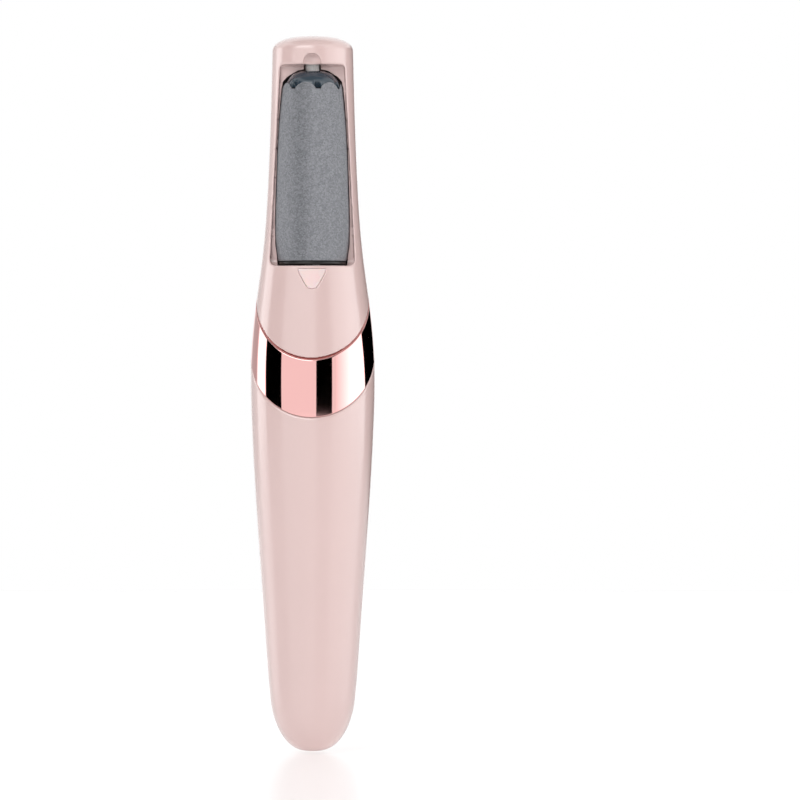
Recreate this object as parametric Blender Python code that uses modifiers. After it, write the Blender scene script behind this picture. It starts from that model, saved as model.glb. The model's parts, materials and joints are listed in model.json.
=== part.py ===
"""Electric callus remover: a rechargeable foot-file wand with a spinning mineral roller.

Metres, +Z up. The wand stands upright on the small flat foot under its rounded base, with the
roller window facing -Y. The origin is the centre of the foot.
"""
import math

import bmesh
import bpy
import numpy as np
from mathutils import Matrix, Vector

MM = 0.001
GAP = 0.3 * MM                    # clearance between neighbouring pieces

# ---------------------------------------------------------------- driving dimensions
HEIGHT = 190.0 * MM
DEPTH_RATIO = 0.97                # depth of the round body over its width
STATION_HEIGHTS = np.array([0, 16, 32, 60, 88, 104, 120, 132, 150, 170, 190]) * MM
STATION_WIDTHS = np.array([9.6, 11.5, 12.72, 14.72, 16.3, 16.42, 14.95, 13.35, 11.97, 11.18, 10.68]) * MM
BASE_ROUND = 14.0 * MM            # height of the rounded base
FOOT_RADIUS = 3.6 * MM
CROWN_ROUND = 4.0 * MM            # height of the rounded top
SHELL_WALL = 1.8 * MM

BAND_LOW = 105.3 * MM             # band edges where they cross the body's axis plane
BAND_HIGH = 120.8 * MM
BAND_SLOPE = 1.06                 # rise per millimetre of depth, front to back
NECK_DROP = 8.0 * MM              # how far the head's neck reaches below the band
NECK_OUTSET = 2.1 * MM            # neck surface below the outer surface
NECK_INSET = 3.1 * MM

WINDOW_BOTTOM = 128.8 * MM
WINDOW_TOP = 182.0 * MM
WINDOW_TOP_HALF = 8.45 * MM
WINDOW_FLARE = 0.052              # growth of the half width per unit of height downwards
WINDOW_CORNER_TOP = 1.0 * MM
WINDOW_CORNER_BOTTOM = 1.8 * MM
WINDOW_SHOULDER = -5.0 * MM       # depth of the window's flat shoulders
# height and radius of the round pocket behind the shoulders, in millimetres
POCKET_RADII = ((128.8, 9.35), (130.7, 9.5), (134.5, 10.05), (140.5, 10.17), (149.0, 9.92), (160.0, 9.57),
                (168.4, 9.08), (175.7, 8.45), (177.6, 8.05), (178.8, 7.05), (179.7, 5.65), (180.5, 4.2),
                (181.3, 3.2))
FLOOR_THICKNESS = 2.4 * MM

ROLLER_Y = -4.0 * MM
SLEEVE_BOTTOM = 130.7 * MM
SLEEVE_WALL = 1.2 * MM
SLEEVE_RADII = ((130.7, 9.15), (134.5, 9.72), (140.5, 9.85), (149.0, 9.6), (160.0, 9.25), (168.4, 8.75),
                (175.7, 8.05))
DOME_TOP = 180.4 * MM
NOTCH_COUNT = 7
PIN_RADIUS = 1.85 * MM
PIN_TIP = 184.1 * MM
SPRING_LOW = 160.4 * MM
SPRING_HIGH = 167.7 * MM

SPINDLE_RADIUS = 1.5 * MM
GEAR_MODULE = 0.4 * MM
PINION_TEETH = 10
OUTPUT_TEETH = 28
GEAR_CENTRES = GEAR_MODULE * (PINION_TEETH + OUTPUT_TEETH) / 2
MOTOR_Y = ROLLER_Y + GEAR_CENTRES
MOTOR_RADIUS = 10.0 * MM
MOTOR_FLAT = 7.5 * MM             # half depth across the motor's flats
MOTOR_LOW = 79.0 * MM
MOTOR_HIGH = 103.6 * MM
SHAFT_RADIUS = 1.0 * MM
GEARBOX_LOW = 104.0 * MM
GEARBOX_TOP = 112.0 * MM
GEARBOX_RADIUS = 11.6 * MM
GEARBOX_SCREW_X = 8.4 * MM
GEARBOX_SCREW_Y = 3.5 * MM
TOWER_TOP = 125.4 * MM            # top of the tower that holds the spindle bush
BOSS_X = 7.8 * MM                 # screw bosses under the floor of the head
WIRE_NOTCH = (8.35 * MM, -8.35 * MM)
HEX_RADIUS = 2.3 * MM             # corner radius of the spindle's hexagonal head
HEX_TOP = 133.4 * MM

BATTERY_RADIUS = 7.1 * MM
BATTERY_Y = -2.5 * MM
BATTERY_LOW = 26.6 * MM
BATTERY_HIGH = 75.0 * MM
BOARD_Y = 7.1 * MM                # middle of the main board

LIGHT_Z = 26.0 * MM               # charge light
SWITCH_Z = 66.0 * MM              # middle of the slider when off

SHELL_STEPS = 40                  # facets round the outer body
ROLLER_STEPS = 32
SMALL_STEPS = 20
SHARP_ANGLE = math.radians(35)

SCREW_RADIUS = 0.8 * MM
PRESS_GAP = 0.1 * MM              # clearance of pieces pressed on a shaft


# ---------------------------------------------------------------- scene and materials
def clear_scene():
    for thing in list(bpy.data.objects):
        bpy.data.objects.remove(thing, do_unlink=True)


def new_collection(name):
    group = bpy.data.collections.new(name)
    bpy.context.scene.collection.children.link(group)
    return group


clear_scene()
PARTS = new_collection("electric_callus_remover")
CUTTERS = new_collection("cutters")


def material(name, colour, roughness, metallic=0.0):
    found = bpy.data.materials.new(name)
    found.use_nodes = True
    shader = found.node_tree.nodes["Principled BSDF"]
    shader.inputs["Base Color"].default_value = (*colour, 1.0)
    shader.inputs["Roughness"].default_value = roughness
    shader.inputs["Metallic"].default_value = metallic
    found.diffuse_color = (*colour, 1.0)
    return found


BODY_PINK = material("body_pink", (0.80, 0.62, 0.59), 0.3)
ROSE_CHROME = material("rose_chrome", (0.92, 0.60, 0.55), 0.06, 1.0)
LENS_CLEAR = material("lens_clear", (0.93, 0.88, 0.87), 0.15)
MINERAL_GREY = material("mineral_grey", (0.24, 0.24, 0.26), 0.85)
CAP_SLATE = material("cap_slate", (0.035, 0.05, 0.065), 0.2)
BASE_BLACK = material("base_black", (0.012, 0.011, 0.011), 0.35)
PIN_WHITE = material("pin_white", (0.85, 0.82, 0.81), 0.35)
INNER_WHITE = material("inner_white", (0.72, 0.72, 0.70), 0.5)
GEAR_NYLON = material("gear_nylon", (0.75, 0.72, 0.62), 0.45)
STEEL = material("steel", (0.62, 0.62, 0.63), 0.28, 1.0)
BRASS = material("brass", (0.78, 0.57, 0.25), 0.3, 1.0)
BRONZE = material("bronze", (0.55, 0.35, 0.18), 0.4, 1.0)
COPPER = material("copper", (0.72, 0.36, 0.2), 0.35, 1.0)
MAGNET = material("magnet", (0.07, 0.07, 0.075), 0.6)
BOARD_GREEN = material("board_green", (0.02, 0.16, 0.07), 0.5)
CHIP_BLACK = material("chip_black", (0.015, 0.015, 0.016), 0.5)
CELL_WRAP = material("cell_wrap", (0.05, 0.16, 0.42), 0.35)
WIRE_RED = material("wire_red", (0.55, 0.02, 0.02), 0.45)
WIRE_BLACK = material("wire_black", (0.02, 0.02, 0.02), 0.45)
WIRE_WHITE = material("wire_white", (0.8, 0.8, 0.78), 0.45)
SEAL_RUBBER = material("seal_rubber", (0.02, 0.02, 0.02), 0.8)


# ---------------------------------------------------------------- outline of the body
def spline_slopes(heights, values):
    """Second derivatives of the smooth curve through the stations, free at both ends."""
    count = len(heights)
    steps = np.diff(heights)
    rises = np.diff(values) / steps
    system = np.eye(count)
    right = np.zeros(count)
    for i in range(1, count - 1):
        system[i, i - 1:i + 2] = (steps[i - 1], 2 * (steps[i - 1] + steps[i]), steps[i])
        right[i] = 6 * (rises[i] - rises[i - 1])
    return np.linalg.solve(system, right)


BODY_BENDS = spline_slopes(STATION_HEIGHTS, STATION_WIDTHS)


def smooth_width(z):
    i = int(np.clip(np.searchsorted(STATION_HEIGHTS, z) - 1, 0, len(STATION_HEIGHTS) - 2))
    step = STATION_HEIGHTS[i + 1] - STATION_HEIGHTS[i]
    along = z - STATION_HEIGHTS[i]
    low, high = BODY_BENDS[i], BODY_BENDS[i + 1]
    slope = (STATION_WIDTHS[i + 1] - STATION_WIDTHS[i]) / step - step * (2 * low + high) / 6
    return STATION_WIDTHS[i] + along * slope + along ** 2 * low / 2 + along ** 3 * (high - low) / (6 * step)


def body_half_width(z):
    """Half width of the outer body, with its rounded base and crown."""
    width = smooth_width(z)
    if z < BASE_ROUND:
        width *= (1 - (1 - z / BASE_ROUND) ** 2.2) ** (1 / 2.8)
    if z > HEIGHT - CROWN_ROUND:
        rise = min((z - HEIGHT + CROWN_ROUND) / CROWN_ROUND, 1.0)
        width *= (1 - rise ** 2.2) ** (1 / 2.6)
    return float(width)


SWITCH_REACH = 10 * MM
SWITCH_TILT = math.atan(DEPTH_RATIO * (smooth_width(SWITCH_Z + SWITCH_REACH)
                                       - smooth_width(SWITCH_Z - SWITCH_REACH)) / (2 * SWITCH_REACH))
SWITCH_SURFACE = DEPTH_RATIO * smooth_width(SWITCH_Z) * math.cos(SWITCH_TILT) / MM


def window_half_width(z):
    """Half width of the roller window, with its rounded corners."""
    width = WINDOW_TOP_HALF + WINDOW_FLARE * (WINDOW_TOP - z)
    from_top = WINDOW_TOP - z
    if from_top < WINDOW_CORNER_TOP:
        width -= WINDOW_CORNER_TOP - math.sqrt(WINDOW_CORNER_TOP ** 2 - (WINDOW_CORNER_TOP - from_top) ** 2)
    from_bottom = z - WINDOW_BOTTOM
    if from_bottom < WINDOW_CORNER_BOTTOM:
        drop = WINDOW_CORNER_BOTTOM - from_bottom
        width -= WINDOW_CORNER_BOTTOM - math.sqrt(WINDOW_CORNER_BOTTOM ** 2 - drop ** 2)
    return width


def sleeve_radius(z):
    heights = [point[0] * MM for point in SLEEVE_RADII]
    radii = [point[1] * MM for point in SLEEVE_RADII]
    return float(np.interp(z, heights, radii))


# ---------------------------------------------------------------- mesh helpers
def finish(thing, finish_material):
    thing.data.materials.append(finish_material)
    thing.data.shade_smooth()
    thing.data.set_sharp_from_angle(angle=SHARP_ANGLE)


def add_object(name, mesh, finish_material=None):
    """Link a piece, or a cutter when it has no material."""
    thing = bpy.data.objects.new(name, mesh)
    if finish_material is None:
        CUTTERS.objects.link(thing)
        thing.hide_render = True
        thing.display_type = "WIRE"
    else:
        PARTS.objects.link(thing)
        finish(thing, finish_material)
    return thing


def mesh_from(bm, name):
    bmesh.ops.recalc_face_normals(bm, faces=bm.faces)
    mesh = bpy.data.meshes.new(name)
    bm.to_mesh(mesh)
    bm.free()
    return mesh


def turned(name, profile, finish_material=None, centre=(0.0, 0.0), steps=SMALL_STEPS, squash=1.0):
    """A turned piece: (radius, height) points down its outer side, round a vertical axis.

    A profile that starts and ends on the axis is solid; any other one is closed into a ring.
    """
    mesh = bpy.data.meshes.new(name)
    points = [(radius, 0.0, height) for radius, height in profile]
    edges = [(i, i + 1) for i in range(len(points) - 1)]
    if profile[0][0] > 0:
        edges.append((len(points) - 1, 0))
    mesh.from_pydata(points, edges, [])
    thing = bpy.data.objects.new(name, mesh)
    PARTS.objects.link(thing)
    screw = thing.modifiers.new("turn", "SCREW")
    screw.steps = steps
    screw.render_steps = steps
    screw.use_merge_vertices = True
    screw.merge_threshold = 0.00001
    solid = bpy.data.meshes.new_from_object(thing.evaluated_get(bpy.context.evaluated_depsgraph_get()))
    bpy.data.objects.remove(thing, do_unlink=True)
    bm = bmesh.new()
    bm.from_mesh(solid)
    bmesh.ops.remove_doubles(bm, verts=bm.verts, dist=0.000001)
    bmesh.ops.scale(bm, verts=bm.verts, vec=(1.0, squash, 1.0))
    piece = add_object(name, mesh_from(bm, name), finish_material)
    piece.location = (centre[0], centre[1], 0.0)
    return piece


def disc(name, radius, low, high, finish_material=None, centre=(0.0, 0.0), steps=SMALL_STEPS):
    bm = bmesh.new()
    bmesh.ops.create_cone(bm, cap_ends=True, segments=steps, radius1=radius, radius2=radius,
                          depth=high - low)
    thing = add_object(name, mesh_from(bm, name), finish_material)
    thing.location = (centre[0], centre[1], (low + high) / 2)
    return thing


def ring(name, inner, outer, low, high, finish_material=None, centre=(0.0, 0.0), steps=SMALL_STEPS):
    profile = ((inner, high), (outer, high), (outer, low), (inner, low))
    return turned(name, profile, finish_material, centre, steps)


def box(name, low, high, finish_material=None, bevel=0.0):
    """A box between two corners given in millimetres."""
    bm = bmesh.new()
    bmesh.ops.create_cube(bm, size=1.0)
    size = [(b - a) * MM for a, b in zip(low, high)]
    bmesh.ops.scale(bm, verts=bm.verts, vec=size)
    thing = add_object(name, mesh_from(bm, name), finish_material)
    thing.location = [(a + b) / 2 * MM for a, b in zip(low, high)]
    if bevel:
        edge = thing.modifiers.new("edge", "BEVEL")
        edge.width = bevel * MM
        edge.segments = 2
        edge.limit_method = "ANGLE"
    return thing


def rod(name, radius, start, end, finish_material=None, steps=SMALL_STEPS):
    """A round bar between two points in metres."""
    start, end = Vector(start), Vector(end)
    bm = bmesh.new()
    bmesh.ops.create_cone(bm, cap_ends=True, segments=steps, radius1=radius, radius2=radius,
                          depth=(end - start).length)
    thing = add_object(name, mesh_from(bm, name), finish_material)
    thing.rotation_mode = "QUATERNION"
    thing.rotation_quaternion = Vector((0, 0, 1)).rotation_difference(end - start)
    thing.location = (start + end) / 2
    return thing


def boolean(thing, other, operation="DIFFERENCE"):
    change = thing.modifiers.new(other.name, "BOOLEAN")
    change.object = other
    change.operation = operation
    change.solver = "EXACT"
    return thing


def cut(thing, *cutters):
    for cutter in cutters:
        boolean(thing, cutter)
    return thing


def join(thing, *others):
    for other in others:
        boolean(thing, other, "UNION")
    return thing


def screw_fastener(name, x, y, head_low, head_high, tip):
    """A pan-head screw with a cross recess; the tip may be above or below the head."""
    head_radius = 1.4 * MM
    points_down = tip < head_low
    head = disc(name, head_radius, head_low, head_high, STEEL, (x, y), 16)
    near = head_low if points_down else head_high
    overlap = 0.2 * MM if points_down else -0.2 * MM
    shank_ends = sorted((near + overlap, tip))
    join(head, disc(name + "_shank", SCREW_RADIUS, shank_ends[0], shank_ends[1], None, (x, y), 12))
    top = head_high if points_down else head_low
    for i, (half_x, half_y) in enumerate(((0.9, 0.2), (0.2, 0.9))):
        low = (x / MM - half_x, y / MM - half_y, top / MM - 0.4)
        high = (x / MM + half_x, y / MM + half_y, top / MM + 0.4)
        cut(head, box(f"{name}_recess_{i}", low, high))
    return head


def band_box(name, offset, above):
    """A large block above or below the slanted band plane that crosses the axis at `offset`."""
    reach = 60.0
    bm = bmesh.new()
    bmesh.ops.create_cube(bm, size=1.0)
    bmesh.ops.scale(bm, verts=bm.verts, vec=(reach * MM, reach * 2 * MM, reach * 2 * MM))
    bmesh.ops.translate(bm, verts=bm.verts, vec=(0, 0, reach * MM if above else -reach * MM))
    bmesh.ops.rotate(bm, verts=bm.verts, cent=(0, 0, 0),
                     matrix=Matrix.Rotation(math.atan(BAND_SLOPE), 3, "X"))
    thing = add_object(name, mesh_from(bm, name))
    thing.location = (0, 0, offset)
    return thing


def body_solid(name, inset, heights, finish_material=None, steps=SHELL_STEPS):
    """The outer body, or its surface moved inwards, between the given heights (top first)."""
    profile = [(0.0, heights[0])]
    profile += [(body_half_width(z) - inset, z) for z in heights]
    profile += [(0.0, heights[-1])]
    return turned(name, profile, finish_material, steps=steps, squash=DEPTH_RATIO)


BAND_GAP = GAP * math.sqrt(1 + BAND_SLOPE ** 2)     # the gap, measured along the axis
BASE_HEIGHTS = [BASE_ROUND * share ** 2 for share in (1.0, 0.8, 0.62, 0.46, 0.32)]
HANDLE_HEIGHTS = [z * MM for z in (126, 118, 110, 102, 94, 86, 76, 64, 50, 36, 24)]
HEAD_HEIGHTS = [z * MM for z in (174, 164, 152, 142, 136, 130, 124, 118, 112, 106, 100, 84)]
CROWN_HEIGHTS = [HEIGHT - CROWN_ROUND * share for share in (0.0002, 0.02, 0.07, 0.18, 0.38, 0.65, 1.0)]


# ---------------------------------------------------------------- outer shells
def make_handle():
    heights = HANDLE_HEIGHTS + BASE_HEIGHTS
    profile = [(0.0, heights[0])]
    profile += [(body_half_width(z), z) for z in heights]
    profile += [(body_half_width(0.6 * MM), 0.6 * MM), (FOOT_RADIUS, 0.0), (0.0, 0.0)]
    handle = turned("handle_shell", profile, BODY_PINK, steps=SHELL_STEPS, squash=DEPTH_RATIO)

    floor = 2.2 * MM
    inner = [(0.0, 130 * MM)]
    inner += [(body_half_width(z) - SHELL_WALL, z) for z in [130 * MM] + HANDLE_HEIGHTS]
    for share in (0.9, 0.65, 0.45, 0.28, 0.18):
        z = BASE_ROUND * share + floor
        inner.append((min(body_half_width(z) - SHELL_WALL, body_half_width(z - floor) - 1.2 * MM), z))
    inner.append((0.0, inner[-1][1]))
    hollow = turned("handle_hollow", inner, steps=SHELL_STEPS, squash=DEPTH_RATIO)
    mouth = band_box("handle_mouth", BAND_LOW - BAND_GAP / 2, above=True)
    port = box("usb_opening", (-4.1, 5.0, 13.65), (4.1, 16.0, 17.15), bevel=0.6)
    light = rod("light_opening", 1.2 * MM + GAP, (0, 8 * MM, LIGHT_Z), (0, 16 * MM, LIGHT_Z))
    cut(handle, hollow, mouth, port, light)

    recess = switch_box("slider_recess", 4.9, 10.7, SWITCH_SURFACE - 1.0, SWITCH_SURFACE + 4.0, 3.0,
                        bevel=2.4)
    slot = switch_box("slider_slot", 2.2, 5.6, SWITCH_SURFACE - 5.0, SWITCH_SURFACE + 4.0, 3.0)
    return cut(handle, recess, slot)


def make_ring():
    heights = [z * MM for z in (142, 136, 130, 124, 118, 112, 106, 100, 94, 88, 82)]
    band = body_solid("accent_ring", 0.0, heights, ROSE_CHROME)
    hollow = body_solid("ring_hollow", SHELL_WALL, [z * MM for z in (150, 136, 124, 112, 100, 88, 74)])
    below = band_box("ring_below", BAND_LOW + BAND_GAP / 2, above=False)
    above = band_box("ring_above", BAND_HIGH - BAND_GAP / 2, above=True)
    return cut(band, below, above, hollow)


def window_cutter():
    """The roller window, from in front of the body back to its flat shoulders."""
    bottom = [WINDOW_BOTTOM + WINDOW_CORNER_BOTTOM * share for share in (0.0, 0.15, 0.5, 1.0)]
    top = [WINDOW_TOP - WINDOW_CORNER_TOP * share for share in (1.0, 0.4, 0.0)]
    front = -25 * MM
    bm = bmesh.new()
    rings = []
    for z in bottom + top:
        wide = window_half_width(z)
        corners = ((wide, front), (wide, WINDOW_SHOULDER), (-wide, WINDOW_SHOULDER), (-wide, front))
        rings.append([bm.verts.new((x, y, z)) for x, y in corners])
    for lower, upper in zip(rings, rings[1:]):
        for i in range(len(lower)):
            j = (i + 1) % len(lower)
            bm.faces.new((lower[i], lower[j], upper[j], upper[i]))
    bm.faces.new(rings[0])
    bm.faces.new(rings[-1])
    return add_object("roller_window", mesh_from(bm, "roller_window"))


def pocket_cutter():
    """The round pocket that follows the roller with a small clearance."""
    wall = [(radius * MM, z * MM) for z, radius in reversed(POCKET_RADII)]
    profile = [(0.0, wall[0][1])] + wall + [(0.0, wall[-1][1])]
    return turned("roller_pocket", profile, centre=(0, ROLLER_Y), steps=SHELL_STEPS)


def lens_prism(name, grow, back):
    """The funnel-shaped light window under the roller, run from the front to `back`."""
    outline = [(-3.75 - grow, 127.9 + grow), (3.75 + grow, 127.9 + grow), (3.3 + grow, 126.6),
               (1.9 + grow, 124.0), (1.1 + grow, 122.9 - grow), (0, 122.6 - grow),
               (-1.1 - grow, 122.9 - grow), (-1.9 - grow, 124.0), (-3.3 - grow, 126.6)]
    bm = bmesh.new()
    face = bm.faces.new([bm.verts.new((x * MM, -20 * MM, z * MM)) for x, z in outline])
    out = bmesh.ops.extrude_face_region(bm, geom=[face])
    moved = [item for item in out["geom"] if isinstance(item, bmesh.types.BMVert)]
    bmesh.ops.translate(bm, verts=moved, vec=(0, (back + 20) * MM, 0))
    return bm


def make_head():
    head = body_solid("head_housing", 0.0, CROWN_HEIGHTS + HEAD_HEIGHTS, BODY_PINK)
    cut(head, band_box("head_below", BAND_HIGH + BAND_GAP / 2, above=False))
    neck = body_solid("head_neck", NECK_OUTSET, [z * MM for z in (140, 132, 124, 116, 108, 100, 92, 84, 72)])
    cut(neck, band_box("neck_below", BAND_LOW - NECK_DROP, above=False))
    join(head, neck)
    ceiling = WINDOW_BOTTOM - FLOOR_THICKNESS
    cavity = body_solid("head_cavity", NECK_INSET, [ceiling] + [z * MM for z in (118, 110, 102, 94, 86, 66)])
    cut(head, cavity)
    for side, name in ((-1, "left"), (1, "right")):
        boss = disc(f"head_boss_{name}", 2.0 * MM, GEARBOX_TOP + GAP, ceiling + 0.5 * MM, None,
                    (side * BOSS_X, ROLLER_Y), 16)
        pilot = disc(f"head_pilot_{name}", SCREW_RADIUS + GAP, GEARBOX_TOP - MM, 119.6 * MM, None,
                     (side * BOSS_X, ROLLER_Y), 12)
        join(head, boss)
        cut(head, pilot)
    cut(head, window_cutter(), pocket_cutter())
    cut(head, add_object("lens_opening", mesh_from(lens_prism("lens_opening", 0.3, -9.4), "lens_opening")))
    passage = disc("spindle_passage", 2.3 * MM, 120 * MM, 132 * MM, None, (0, ROLLER_Y))
    seat = disc("seal_seat", 4.3 * MM, 127.6 * MM, 132 * MM, None, (0, ROLLER_Y))
    pocket = disc("pin_pocket", 3.5 * MM, 181 * MM, 185.8 * MM, None, (0, ROLLER_Y))
    notch = turned("pin_notch", ((0.0, 184.9 * MM), (1.3 * MM, 184.55 * MM), (2.1 * MM, 183.6 * MM),
                                 (2.45 * MM, 182.4 * MM), (2.45 * MM, 181 * MM), (0.0, 181 * MM)),
                   None, (0, -10.6 * MM), 24)
    return cut(head, passage, seat, pocket, notch)


def make_head_trim():
    lens_bm = lens_prism("led_lens", 0.0, -11.4)
    lens = add_object("led_lens", mesh_from(lens_bm, "led_lens"), LENS_CLEAR)
    skin = body_solid("lens_skin", 0.05 * MM, [z * MM for z in (134, 130, 126, 122, 118)], steps=80)
    boolean(lens, skin, "INTERSECT")
    box("led", (-1.4, -10.9, 124.4), (1.4, -10.1, 126.0), LENS_CLEAR, 0.1)
    box("led_board", (-3.6, -9.8, 117.6), (3.6, -9.0, 126.0), BOARD_GREEN)
    ring("top_bush", PIN_RADIUS + GAP, 3.2 * MM, 182.3 * MM, 185.2 * MM, BRASS, (0, ROLLER_Y))
    ring("spindle_seal", SPINDLE_RADIUS + GAP, 4.0 * MM, 127.9 * MM, 128.7 * MM, SEAL_RUBBER, (0, ROLLER_Y))


# ---------------------------------------------------------------- roller
def make_roller():
    centre = (0, ROLLER_Y)
    heights = [point[0] * MM for point in reversed(SLEEVE_RADII)]
    heights[-1:] = [132.0 * MM, SLEEVE_BOTTOM]
    outer = [(sleeve_radius(z), z) for z in heights]
    inner = [(sleeve_radius(z) - SLEEVE_WALL, z) for z in reversed(heights)]
    turned("abrasive_sleeve", outer + inner, MINERAL_GREY, centre, ROLLER_STEPS)

    skin = SLEEVE_WALL + GAP
    wall = 1.5 * MM
    tube = 2.9 * MM
    core = [(tube, 175.4 * MM)]
    core += [(sleeve_radius(z * MM) - skin, z * MM) for z in (175.4, 168, 160, 149, 140, 132)]
    core += [(sleeve_radius(z * MM) - skin - wall, z * MM) for z in (132, 140, 149, 160, 168)]
    core += [(4.3 * MM, 172.5 * MM), (4.3 * MM, 158.6 * MM), (0.0, 158.6 * MM)]
    core_profile = [(0.0, SPRING_LOW - GAP), (tube, SPRING_LOW - GAP)] + core
    turned("roller_core", core_profile, INNER_WHITE, centre, ROLLER_STEPS)

    hole = PIN_RADIUS + GAP
    dome = ((hole, DOME_TOP), (3.6 * MM, 180.35 * MM), (5.2 * MM, 179.7 * MM), (6.6 * MM, 178.8 * MM),
            (7.6 * MM, 177.6 * MM), (8.05 * MM, 176.0 * MM), (6.2 * MM, 176.0 * MM), (hole, 176.0 * MM))
    cap = turned("roller_end_cap", dome, CAP_SLATE, centre, ROLLER_STEPS)
    for i in range(NOTCH_COUNT):
        angle = math.radians(-90 + 12 + 360 / NOTCH_COUNT * i)
        spot = Vector((math.cos(angle), math.sin(angle), 0)) * 8.2 * MM + Vector((0, ROLLER_Y, 176.2 * MM))
        bm = bmesh.new()
        bmesh.ops.create_uvsphere(bm, u_segments=8, v_segments=6, radius=0.7 * MM)
        notch = add_object(f"cap_notch_{i}", mesh_from(bm, "cap_notch"))
        notch.location = spot
        cut(cap, notch)

    base = turned("roller_base_cap", ((0.0, 139.5 * MM), (3.9 * MM, 139.5 * MM), (3.9 * MM, 136 * MM),
                                      (5.9 * MM, 136 * MM), (5.9 * MM, 130.4 * MM),
                                      (8.7 * MM, 130.4 * MM), (9.04 * MM, 130.1 * MM),
                                      (9.04 * MM, 129.4 * MM), (8.7 * MM, 129.1 * MM), (0.0, 129.1 * MM)),
                  BASE_BLACK, centre, ROLLER_STEPS)
    cut(base, hexagon("hex_socket", HEX_RADIUS + GAP, 128 * MM, HEX_TOP + GAP))
    pin = ((0.0, PIN_TIP), (0.8 * MM, PIN_TIP - 0.15 * MM), (1.45 * MM, PIN_TIP - 0.65 * MM),
           (PIN_RADIUS, PIN_TIP - 1.5 * MM), (PIN_RADIUS, 175.2 * MM), (2.55 * MM, 175.2 * MM),
           (2.55 * MM, 173.8 * MM), (PIN_RADIUS, 173.8 * MM), (PIN_RADIUS, SPRING_HIGH + GAP),
           (0.0, SPRING_HIGH + GAP))
    turned("pivot_pin", pin, PIN_WHITE, centre, 24)
    coil("pin_spring", 2.15 * MM, 0.28 * MM, SPRING_LOW + 0.3 * MM, SPRING_HIGH - 0.3 * MM, 5, STEEL)


def hexagon(name, radius, low, high):
    return disc(name, radius, low, high, None, (0, ROLLER_Y), 6)


def tube_curve(name, points, radius, finish_material):
    """A wire: a POLY spline with a round section and closed ends."""
    curve = bpy.data.curves.new(name, "CURVE")
    curve.dimensions = "3D"
    curve.bevel_depth = radius
    curve.bevel_resolution = 2
    curve.use_fill_caps = True
    curve.materials.append(finish_material)
    spline = curve.splines.new("POLY")
    spline.points.add(len(points) - 1)
    for point, place in zip(spline.points, points):
        point.co = (*place, 1.0)
    thing = bpy.data.objects.new(name, curve)
    PARTS.objects.link(thing)
    return thing


def coil(name, radius, wire, low, high, turns, finish_material):
    per_turn = 12
    count = turns * per_turn
    points = []
    for i in range(count + 1):
        angle = 2 * math.pi * i / per_turn
        z = low + (high - low) * i / count
        points.append((radius * math.cos(angle), ROLLER_Y + radius * math.sin(angle), z))
    return tube_curve(name, points, wire, finish_material)


# ---------------------------------------------------------------- gearbox
def gear(name, teeth, bore, low, high, centre, finish_material, turn=0.0):
    """A spur gear with straight-flanked teeth."""
    pitch = GEAR_MODULE * teeth / 2
    root, tip = pitch - 1.2 * GEAR_MODULE, pitch + 0.95 * GEAR_MODULE
    step = 2 * math.pi / teeth
    bm = bmesh.new()
    outline = []
    for i in range(teeth):
        for share, radius in ((-0.31, root), (-0.11, tip), (0.11, tip), (0.31, root)):
            angle = turn + (i + share) * step
            outline.append(bm.verts.new((radius * math.cos(angle), radius * math.sin(angle), low)))
    face = bm.faces.new(outline)
    out = bmesh.ops.extrude_face_region(bm, geom=[face])
    moved = [item for item in out["geom"] if isinstance(item, bmesh.types.BMVert)]
    bmesh.ops.translate(bm, verts=moved, vec=(0, 0, high - low))
    wheel = add_object(name, mesh_from(bm, name), finish_material)
    wheel.location = (centre[0], centre[1], 0.0)
    return cut(wheel, disc(name + "_bore", bore, low - MM, high + MM, None, centre, 16))


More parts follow.
